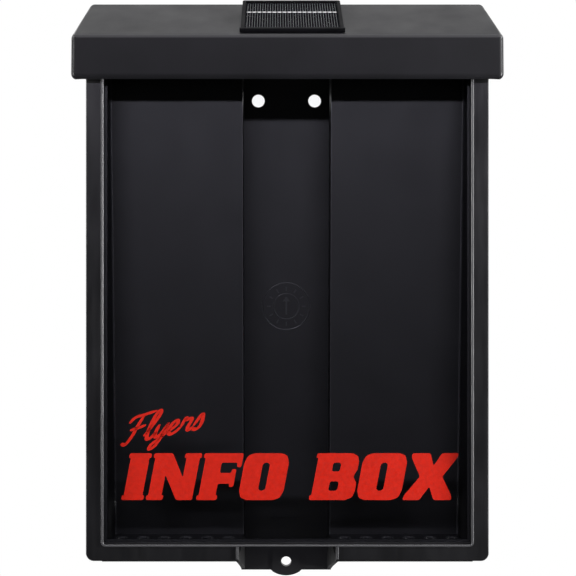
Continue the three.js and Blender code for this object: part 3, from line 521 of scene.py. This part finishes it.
def painted_highlight_edges(tree, behind):
    """1 on the edges that catch the light and get a painted highlight: bead, channel edges, inner corners
    and drain hole rims.
    """
    x, y, z = place_axes(tree)
    across = calculate(tree, "ABSOLUTE", x)
    bead = smooth_step(tree, behind, BEAD_AHEAD, 1.0, 0.0)
    channel = calculate(tree, "MULTIPLY", near(tree, across, CHANNEL_HALF, CHANNEL_EDGE[0]),
                        near(tree, y, PANEL_FACE, CHANNEL_EDGE[1]))
    corner = calculate(tree, "MULTIPLY", smooth_step(tree, across, CORNER_ACROSS, 0.0, CORNER_HIGHLIGHT),
                       near(tree, y, PANEL_FACE - CORNER_AHEAD, CORNER_DEEP))
    return calculate(tree, "MAXIMUM", calculate(tree, "MAXIMUM", bead, channel),
                     calculate(tree, "MAXIMUM", corner, drain_rims(tree, across, y, z)))


def shell_plastic(name):
    """The body's black plastic: streaky on the front frame, satin inside and behind, with a painted
    highlight on its edges.
    """
    material, tree, shader = node_material(name)
    behind = behind_front(tree)
    painted_highlight = painted_highlight_edges(tree, behind)
    inside = smooth_step(tree, behind, INSIDE_BEHIND, 0.0, 1.0)
    plain = mixed(tree, "RGBA", uneven(tree, SHELL_TONE, 0, 1), SHELL_DARK, SHELL_LIGHT)
    # Painted highlight: a lighter grey on the bead, channel edges, inner corners and drain rims stands in
    # for the light these edges catch.
    put(tree, mixed(tree, "RGBA", painted_highlight, plain, PAINTED_HIGHLIGHT), shader.inputs["Base Color"])
    gloss = mixed(tree, "FLOAT", inside, uneven(tree, FRAME_STREAKS, *FRAME_ROUGH),
                  uneven(tree, INSIDE_CLOUDS, *INSIDE_ROUGH))
    put(tree, mixed(tree, "FLOAT", painted_highlight, gloss, HIGHLIGHT_ROUGH), shader.inputs["Roughness"])
    blotches = bump(tree, noise(tree, *FRAME_BLOTCHES), BLOTCH_DEPTH)
    frame_grain = bump(tree, noise(tree, *SHELL_GRAIN), SHELL_GRAIN_DEPTH, blotches)
    inside_grain = bump(tree, noise(tree, *SHELL_GRAIN), SHELL_GRAIN_DEPTH)
    normal = mixed(tree, "VECTOR", inside, leaned(tree, FRAME_TILT, frame_grain), inside_grain)
    put(tree, normal, shader.inputs["Normal"])
    return material


def turn_highlight(tree):
    """1 where the closed lid's surface turns over from its front and sides to its roof, the band that gets
    the painted highlight.

    The normal is in the world's frame, so on an open lid it picks other faces.
    """
    surface = tree.nodes.new("ShaderNodeNewGeometry")
    split = tree.nodes.new("ShaderNodeSeparateXYZ")
    tree.links.new(surface.outputs["Normal"], split.inputs[0])
    upward = split.outputs["Z"]
    return calculate(tree, "MULTIPLY", smooth_step(tree, upward, LID_TURN_UP, 0.0, 1.0),
                     smooth_step(tree, upward, LID_TURN_OVER, 1.0, 0.0))


def lid_plastic(name):
    """The lid's satin black plastic, polished on its side edges, with a painted highlight where it turns
    over.
    """
    material, tree, shader = node_material(name)
    plain = mixed(tree, "RGBA", uneven(tree, LID_TONE, 0, 1), LID_DARK, LID_LIGHT)
    # Painted highlight: a lighter grey along the lid's rounded front and side edges stands in for the light
    # they catch from above.
    put(tree, mixed(tree, "RGBA", turn_highlight(tree), plain, LID_PAINTED_HIGHLIGHT), shader.inputs["Base Color"])
    across = calculate(tree, "ABSOLUTE", place_axes(tree)[0])
    polished = smooth_step(tree, across, LID_SIDE, 0.0, 1.0)
    satin = uneven(tree, LID_SATIN, *LID_ROUGH)
    put(tree, mixed(tree, "FLOAT", polished, satin, LID_POLISHED), shader.inputs["Roughness"])
    wave = bump(tree, noise(tree, *LID_WAVE), LID_WAVE_DEPTH)
    grain = bump(tree, noise(tree, *LID_GRAIN), LID_GRAIN_DEPTH, wave)
    put(tree, leaned(tree, FRAME_TILT, grain), shader.inputs["Normal"])
    shader.inputs["Specular IOR Level"].default_value = LID_LEVEL
    return material


# ---- the solar panel, the light and the small parts ----

def tray_plastic(name):
    """The solar tray's plastic: slight tone variation, uneven gloss, a long wave and a fine grain."""
    material, tree, shader = node_material(name)
    colour = mixed(tree, "RGBA", uneven(tree, TRAY_TONE, 0, 1), TRAY_DARK, TRAY_LIGHT)
    put(tree, colour, shader.inputs["Base Color"])
    put(tree, uneven(tree, TRAY_GLOSS, *TRAY_ROUGH), shader.inputs["Roughness"])
    wave = bump(tree, noise(tree, *TRAY_WAVE), TRAY_WAVE_DEPTH)
    put(tree, bump(tree, noise(tree, *TRAY_GRAIN), SMALL_GRAIN_DEPTH, wave), shader.inputs["Normal"])
    shader.inputs["Specular IOR Level"].default_value = TRAY_LEVEL
    return material


def silver_dashes(name):
    """Printed silver that is brighter where it crosses each second finger."""
    material, tree, shader = node_material(name)
    wave = tree.nodes.new("ShaderNodeTexWave")
    wave.wave_type = "BANDS"
    wave.bands_direction = "X"
    wave.inputs["Scale"].default_value = 1 / DASH_PERIOD / WAVE_BANDS
    wave.inputs["Distortion"].default_value = DASH_WANDER
    tree.links.new(object_place(tree), wave.inputs["Vector"])
    bright = remap(tree, wave.outputs["Fac"], DASH_RISE, 0.0, 1.0)
    put(tree, mixed(tree, "RGBA", bright, SILVER_DULL, SILVER_BRIGHT), shader.inputs["Base Color"])
    put(tree, uneven(tree, SMALL_GLOSS, *SILVER_ROUGH), shader.inputs["Roughness"])
    shader.inputs["Metallic"].default_value = SILVER_METAL
    return material


def board_finish(name):
    """Green solder mask over fine copper tracks."""
    material, tree, shader = node_material(name)
    tracks = tree.nodes.new("ShaderNodeTexBrick")
    tracks.inputs["Scale"].default_value = TRACK_SCALE
    tracks.inputs["Mortar Size"].default_value = TRACK_WIDTH
    tracks.inputs["Brick Width"].default_value = TRACK_LENGTH
    put(tree, (0, 0, 0), tracks.inputs["Color1"])
    put(tree, (0, 0, 0), tracks.inputs["Color2"])
    put(tree, WHITE, tracks.inputs["Mortar"])
    tree.links.new(object_place(tree), tracks.inputs["Vector"])
    line = tracks.outputs["Color"]
    put(tree, mixed(tree, "RGBA", line, BOARD_DARK, BOARD_LIGHT), shader.inputs["Base Color"])
    put(tree, bump(tree, line, TRACK_HEIGHT), shader.inputs["Normal"])
    put(tree, uneven(tree, BOARD_GLOSS, *BOARD_ROUGH), shader.inputs["Roughness"])
    return material


def battery_finish(name):
    """A printed sleeve: a coppery band towards the positive end, dark elsewhere, bare metal on that end."""
    material, tree, shader = node_material(name)
    low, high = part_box("battery_cell")
    across = place_axes(tree)[0]
    band = calculate(tree, "GREATER_THAN", across, low.x + SLEEVE_BAND * (high.x - low.x))
    bare = calculate(tree, "GREATER_THAN", across, high.x - BARE_END)
    sleeve = mixed(tree, "RGBA", band, SLEEVE_DARK, SLEEVE_COPPER)
    put(tree, mixed(tree, "RGBA", bare, sleeve, BARE_METAL), shader.inputs["Base Color"])
    put(tree, bare, shader.inputs["Metallic"])
    put(tree, uneven(tree, SLEEVE_GLOSS, *SLEEVE_ROUGH), shader.inputs["Roughness"])
    return material


def simple(name, colour, rough, metallic=0.0, level=0.5):
    """A plain finish with a slightly uneven tone, uneven gloss and a little grain."""
    material, tree, shader = node_material(name)
    darker = tuple(c * SMALL_DARKER for c in colour)
    tone = uneven(tree, SMALL_TONE, 0, 1)
    put(tree, mixed(tree, "RGBA", tone, darker, colour), shader.inputs["Base Color"])
    put(tree, uneven(tree, SMALL_GLOSS, rough * SMALL_SPREAD[0], rough * SMALL_SPREAD[1]),
        shader.inputs["Roughness"])
    put(tree, bump(tree, noise(tree, *SMALL_GRAIN), SMALL_GRAIN_DEPTH), shader.inputs["Normal"])
    shader.inputs["Metallic"].default_value = metallic
    shader.inputs["Specular IOR Level"].default_value = level
    return material


def clear_resin(name, rough, cover):
    """A poured clear layer: mostly see-through, with a soft gloss."""
    material, tree, shader = node_material(name)
    put(tree, CLEAR_BODY, shader.inputs["Base Color"])
    shader.inputs["Alpha"].default_value = cover
    put(tree, uneven(tree, RESIN_GLOSS, rough * RESIN_SPREAD[0], rough * RESIN_SPREAD[1]),
        shader.inputs["Roughness"])
    put(tree, bump(tree, noise(tree, *RESIN_WAVE), RESIN_WAVE_DEPTH), shader.inputs["Normal"])
    return material


def clear_sheet(name, tint, mirror_ior, rough):
    """A thin clear sheet: what is behind shows through, and the surface mirrors a little."""
    material, tree, output = empty_material(name)
    see = tree.nodes.new("ShaderNodeBsdfTransparent")
    put(tree, tint, see.inputs["Color"])
    mirror = tree.nodes.new("ShaderNodeBsdfPrincipled")
    put(tree, CLEAR_BODY, mirror.inputs["Base Color"])
    put(tree, uneven(tree, SHEET_GLOSS, rough * SHEET_SPREAD[0], rough * SHEET_SPREAD[1]),
        mirror.inputs["Roughness"])
    mirror.inputs["Specular IOR Level"].default_value = 1.0
    edge = tree.nodes.new("ShaderNodeFresnel")
    edge.inputs["IOR"].default_value = mirror_ior
    mix = tree.nodes.new("ShaderNodeMixShader")
    tree.links.new(edge.outputs[0], mix.inputs[0])
    tree.links.new(see.outputs[0], mix.inputs[1])
    tree.links.new(mirror.outputs[0], mix.inputs[2])
    tree.links.new(mix.outputs[0], output.inputs[0])
    return material


# The record's slots, then the three finishes that only the extra pieces have.
FINISHES = {
    "shell": shell_plastic("shell_black"),
    "lid": lid_plastic("lid_black"),
    "clear_sheet": clear_sheet("clear_sheet", tint=(0.97, 0.975, 0.98), mirror_ior=1.12, rough=0.04),
    "steel": simple("zinc_steel", (0.55, 0.56, 0.58), rough=0.3, metallic=1.0),
    "solar_black": tray_plastic("solar_frame"),
    "silicon": simple("silicon", (0.003, 0.0035, 0.005), rough=0.45, level=0.0),
    "silver": silver_dashes("printed_silver"),
    "resin": clear_resin("clear_resin", rough=0.2, cover=0.006),
    "rubber": simple("rubber", (0.012, 0.012, 0.012), rough=0.7),
    "lead_red": simple("lead_red", (0.4, 0.012, 0.008), rough=0.4),
    "lead_black": simple("lead_black", (0.01, 0.01, 0.01), rough=0.4),
    "board": board_finish("board_green"),
    "chip": simple("chip_black", (0.012, 0.012, 0.012), rough=0.5),
    "lamp": clear_sheet("lamp_epoxy", tint=(0.93, 0.94, 0.9), mirror_ior=1.45, rough=0.05),
    "battery": battery_finish("battery_sleeve"),
    "slider": simple("slider_grey", (0.6, 0.6, 0.6), rough=0.4),
}
FINGER = simple("printed_fingers", (0.048, 0.048, 0.050), rough=0.45, level=0.1)
VINYL = simple("vinyl_red", (0.47, 0.010, 0.002), rough=0.5, level=0.2)
MARK = simple("mark_grey", (0.040, 0.040, 0.042), rough=0.4)


# ---- CAD nodes: materials and softened edges ----

def weld_group():
    """Joins the split corners of an imported solid and smooths its shading."""
    group = bpy.data.node_groups.new("weld_and_smooth", "GeometryNodeTree")
    group.interface.new_socket("Geometry", in_out="INPUT", socket_type="NodeSocketGeometry")
    group.interface.new_socket("Geometry", in_out="OUTPUT", socket_type="NodeSocketGeometry")
    start = group.nodes.new("NodeGroupInput")
    clear = group.nodes.new("GeometryNodeRemoveAttribute")
    clear.inputs["Name"].default_value = "custom_normal"
    merge = group.nodes.new("GeometryNodeMergeByDistance")
    merge.inputs["Distance"].default_value = WELD_DISTANCE
    smooth = group.nodes.new("GeometryNodeSetShadeSmooth")
    end = group.nodes.new("NodeGroupOutput")
    chain = (start, clear, merge, smooth, end)
    for node, after in zip(chain, chain[1:]):
        group.links.new(node.outputs[0], after.inputs[0])
    return group


WELD = weld_group()


def soften(piece, width):
    """Merges flat triangles into faces and rounds the sharp edges."""
    weld = piece.modifiers.new("weld", "NODES")
    weld.node_group = WELD
    flat = piece.modifiers.new("flat", "DECIMATE")
    flat.decimate_type = "DISSOLVE"
    flat.angle_limit = math.radians(FLAT_ANGLE)
    edge = piece.modifiers.new("edge", "BEVEL")
    edge.width = width
    edge.segments = EDGE_SEGMENTS
    edge.limit_method = "ANGLE"
    edge.angle_limit = math.radians(SHARP_ANGLE)
    edge.harden_normals = True
    edge.use_clamp_overlap = True
    normals = piece.modifiers.new("normals", "WEIGHTED_NORMAL")
    normals.keep_sharp = True
    normals.weight = FACE_WEIGHT


slot_of = {row["node"]: row["material_slot"] for row in frame["record"]["subparts"]}
for node, piece in NODES.items():
    piece.data.materials.clear()
    piece.data.materials.append(FINISHES[slot_of[node]])
    soften(piece, EDGE_WIDTHS.get(node, EDGE_WIDTH))


# ---- pieces that the solid model leaves out ----

def solar_fingers():
    """The cell's thin printed fingers, which run up the slope."""
    low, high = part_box("solar_cell")
    middle = (low.x + high.x) / 2
    front, rear = corner_points("solar_cell")
    length = (rear - front).length - 2 * CELL_EDGE

    def build(bm):
        for i in range(FINGER_COUNT):
            x = middle + (i - (FINGER_COUNT - 1) / 2) * FINGER_PITCH - FINGER_WIDTH / 2
            corner = cell_point(x, CELL_EDGE, FINGER_SUNK)
            add_box(bm, corner, Vector((FINGER_WIDTH, 0, 0)), ROOF_UP * length, ROOF_OUT * FINGER_HEIGHT)

    new_object("solar_fingers", mesh_from("solar_fingers", build), "lid", FINGER)


def add_arrow(bm, centre, right, up, out):
    """The dial's pointer: a bar and a three-sided head, both raised."""
    add_box(bm, centre - right * ARROW_HALF + up * ARROW_LOW, right * (2 * ARROW_HALF), up * ARROW_LENGTH,
            out * MARK_HEIGHT)
    flat = [right * -HEAD_HALF + up * HEAD_LOW, right * HEAD_HALF + up * HEAD_LOW, up * HEAD_TIP]
    head = [bm.verts.new(centre + place) for place in flat + [place + out * MARK_HEIGHT for place in flat]]
    for face in ((0, 1, 2), (5, 4, 3), (0, 3, 4, 1), (1, 4, 5, 2), (2, 5, 3, 0)):
        bm.faces.new([head[k] for k in face])


def mould_mark():
    """A plain dial of the moulding tool, raised on the channel's rear wall."""
    centre = Vector((0, CHANNEL_WALL, MARK_Z))
    right, up, out = Vector((1, 0, 0)), Vector((0, 0, 1)), Vector((0, -1, 0))

    def build(bm):
        for radius, width, height in MARK_RINGS:
            add_ring(bm, centre, right, up, out, radius, width, height)
        for i in range(MARK_TICKS):
            angle = 2 * math.pi * i / MARK_TICKS
            away = right * math.cos(angle) + up * math.sin(angle)
            side = right * -math.sin(angle) + up * math.cos(angle)
            corner = centre + away * TICK_START - side * TICK_HALF
            add_box(bm, corner, away * TICK_LENGTH, side * (2 * TICK_HALF), out * MARK_HEIGHT)
        add_arrow(bm, centre, right, up, out)

    new_object("mould_mark", mesh_from("mould_mark", build), "box", MARK)


def rounded_loop(points, radius):
    """A closed outline with its corners rounded off."""
    loop = []
    for i, corner in enumerate(points):
        here = Vector(corner)
        before, after = Vector(points[i - 1]) - here, Vector(points[(i + 1) % len(points)]) - here
        reach = min(radius, before.length * CORNER_SHARE, after.length * CORNER_SHARE)
        start, end = here + before.normalized() * reach, here + after.normalized() * reach
        for k in range(CORNER_STEPS + 1):
            f = k / CORNER_STEPS
            loop.append((1 - f) ** 2 * start + 2 * f * (1 - f) * here + f * f * end)
    return loop


def filled(name, loops):
    """A flat mesh, 1 unit thick, inside the outer loops and outside the inner ones."""
    data = bpy.data.curves.new(name, "CURVE")
    data.dimensions = "2D"
    data.fill_mode = "BOTH"
    data.extrude = 0.5
    for loop in loops:
        spline = data.splines.new("POLY")
        spline.points.add(len(loop) - 1)
        for point, place in zip(spline.points, loop):
            point.co = (place[0], place[1], 0, 1)
        spline.use_cyclic_u = True
    source = bpy.data.objects.new(name, data)
    mesh = bpy.data.meshes.new_from_object(source)
    bpy.data.objects.remove(source)
    return mesh


def print_large():
    """The heavy slanted words, stretched to their place on the window's front."""
    loops = []
    x = 0.0
    for letter in BIG_WORDS:
        if letter == " ":
            x += WORD_GAP
            continue
        width, outlines = LETTERS[letter]
        for outline in outlines:
            corners = rounded_loop(outline, BIG_CORNER_R)
            loops.append([(x + p.x + BIG_SLANT * p.y, p.y) for p in corners])
        x += width + LETTER_GAP
    mesh = filled("print_large", loops)
    reach = x - LETTER_GAP + BIG_SLANT
    for v in mesh.vertices:
        across = BIG_X[0] + v.co.x / reach * (BIG_X[1] - BIG_X[0])
        up = BIG_UP[0] + v.co.y * (BIG_UP[1] - BIG_UP[0])
        v.co = front_point(across, WINDOW_BEHIND - PRINT_GAP - (v.co.z + 0.5) * PRINT_T, up)
    new_object("print_large", mesh, "box", VINYL)


def smooth_line(points):
    """Points along a smooth curve through the given ones."""
    ends = [points[0], *points, points[-1]]
    line = []
    for i in range(len(points) - 1):
        a, b, c, d = (Vector(p) for p in ends[i:i + 4])
        for k in range(CURVE_STEPS):
            f = k / CURVE_STEPS
            line.append(0.5 * (2 * b + (c - a) * f + (2 * a - 5 * b + 4 * c - d) * f ** 2
                               + (3 * b - a - 3 * c + d) * f ** 3))
    return line + [Vector(points[-1])]


def small_place(p, depth):
    """Takes a point of a stroke to the window: slanted, rising, and 0 to 1 of the print's depth ahead."""
    scale = (SMALL_X[1] - SMALL_X[0]) / (STROKES[-1][2][0] + SMALL_SLANT / 2)
    across = (p.x + SMALL_SLANT * p.y) * scale
    return front_point(SMALL_X[0] + across, WINDOW_BEHIND - PRINT_GAP - depth * PRINT_T,
                       SMALL_LOW + p.y * SMALL_CAP + across * SMALL_RISE)


def add_stroke(bm, points):
    """One brush stroke: a thin ribbon that narrows at both ends."""
    line = smooth_line(points)
    rows = []
    for i, here in enumerate(line):
        along = (line[min(i + 1, len(line) - 1)] - line[max(i - 1, 0)]).normalized()
        side = Vector((-along.y, along.x))
        from_end = min(i, len(line) - 1 - i) / STROKE_TAPER
        half = STROKE_HALF * (STROKE_TIP + (1 - STROKE_TIP) * min(1, from_end))
        rows.append([bm.verts.new(small_place(here + side * s * half, depth))
                     for s, depth in ((-1, 0), (1, 0), (1, 1), (-1, 1))])
    for a, b in zip(rows, rows[1:]):
        for k in range(4):
            j = (k + 1) % 4
            bm.faces.new((a[k], a[j], b[j], b[k]))
    bm.faces.new(rows[0])
    bm.faces.new(rows[-1])


def print_small():
    """The small brush-script word above the large ones."""
    def build(bm):
        for points in STROKES:
            add_stroke(bm, points)

    new_object("print_small", mesh_from("print_small", build), "box", VINYL)


solar_fingers()
mould_mark()
print_large()
print_small()


# ---- stage, light and camera ----

def make_floor():
    """A pale floor that is white to the camera and takes no part in the lighting."""
    material, tree, output = empty_material("pale_floor")
    glow = tree.nodes.new("ShaderNodeEmission")
    put(tree, WHITE, glow.inputs["Color"])
    tree.links.new(glow.outputs[0], output.inputs[0])

    def build(bm):
        bmesh.ops.create_circle(bm, cap_ends=True, radius=FLOOR_RADIUS, segments=FLOOR_SIDES)
        bmesh.ops.translate(bm, verts=bm.verts, vec=(0, 0, CAD_BOX[0][2] - FLOOR_BELOW))

    mesh = mesh_from("floor", build)
    mesh.materials.append(material)
    thing = bpy.data.objects.new("floor", mesh)
    bpy.context.scene.collection.objects.link(thing)
    thing.visible_glossy = False
    thing.visible_diffuse = False


def studio_level(tree):
    """How bright the studio is in each direction: bright above and behind, dark low in front."""
    split = tree.nodes.new("ShaderNodeSeparateXYZ")
    tree.links.new(tree.nodes.new("ShaderNodeTexCoord").outputs["Generated"], split.inputs[0])
    up, back = split.outputs["Z"], split.outputs["Y"]
    overhead = smooth_step(tree, up, OVERHEAD_RISE, 0.0, SKY_LEVELS["overhead"])
    behind = smooth_step(tree, back, BEHIND_RISE, 0.0, 1.0)
    high_band = smooth_step(tree, up, BAND_RISE, 0.0, SKY_LEVELS["back_high"])
    ground = smooth_step(tree, up, GROUND_RISE, GROUND_LEVEL, 1.0)
    low_band = smooth_step(tree, up, BAND_RISE, SKY_LEVELS["back_low"], 0.0)
    low_band = calculate(tree, "MULTIPLY", low_band, ground)
    banded = calculate(tree, "MULTIPLY", calculate(tree, "ADD", high_band, low_band), behind)
    return calculate(tree, "ADD", calculate(tree, "ADD", banded, overhead), SKY_LEVELS["all_round"])


def make_world():
    """White seen directly, and the studio as light."""
    world = bpy.data.worlds.new("studio")
    bpy.context.scene.world = world
    world.use_nodes = True
    tree = world.node_tree
    tree.nodes.clear()
    output = tree.nodes.new("ShaderNodeOutputWorld")
    studio = tree.nodes.new("ShaderNodeBackground")
    put(tree, WHITE, studio.inputs["Color"])
    put(tree, studio_level(tree), studio.inputs["Strength"])
    white = tree.nodes.new("ShaderNodeBackground")
    put(tree, WHITE, white.inputs["Color"])
    path = tree.nodes.new("ShaderNodeLightPath")
    mix = tree.nodes.new("ShaderNodeMixShader")
    tree.links.new(path.outputs["Is Camera Ray"], mix.inputs[0])
    tree.links.new(studio.outputs[0], mix.inputs[1])
    tree.links.new(white.outputs[0], mix.inputs[2])
    tree.links.new(mix.outputs[0], output.inputs[0])


def area_light(name, place, target, size, power, colour):
    """A rectangular light that shines from its place to its target, and that the camera doesn't see."""
    data = bpy.data.lights.new(name, "AREA")
    data.shape = "RECTANGLE"
    data.size, data.size_y = size
    data.energy = power
    data.color = colour
    lamp = bpy.data.objects.new(name, data)
    lamp.location = place
    lamp.rotation_euler = (Vector(target) - Vector(place)).to_track_quat("-Z", "Y").to_euler()
    lamp.visible_camera = False
    bpy.context.scene.collection.objects.link(lamp)


def make_camera():
    """Looks square on to the box's leaning front."""
    data = bpy.data.cameras.new("camera")
    data.lens = CAMERA_LENS
    data.sensor_width = CAMERA_SENSOR
    data.shift_x = CAMERA_SHIFT
    camera = bpy.data.objects.new("camera", data)
    camera.location = front_point(CAMERA_X, -CAMERA_AWAY, CAMERA_UP)
    side = Vector((1, 0, 0))
    camera.rotation_euler = Matrix((side, FRONT_UP, FRONT_OUT)).transposed().to_euler()
    bpy.context.scene.collection.objects.link(camera)
    bpy.context.scene.camera = camera


make_floor()
make_world()
for name, light in LIGHTS.items():
    area_light(name, **light)
make_camera()
bpy.context.scene.view_settings.view_transform = "Standard"
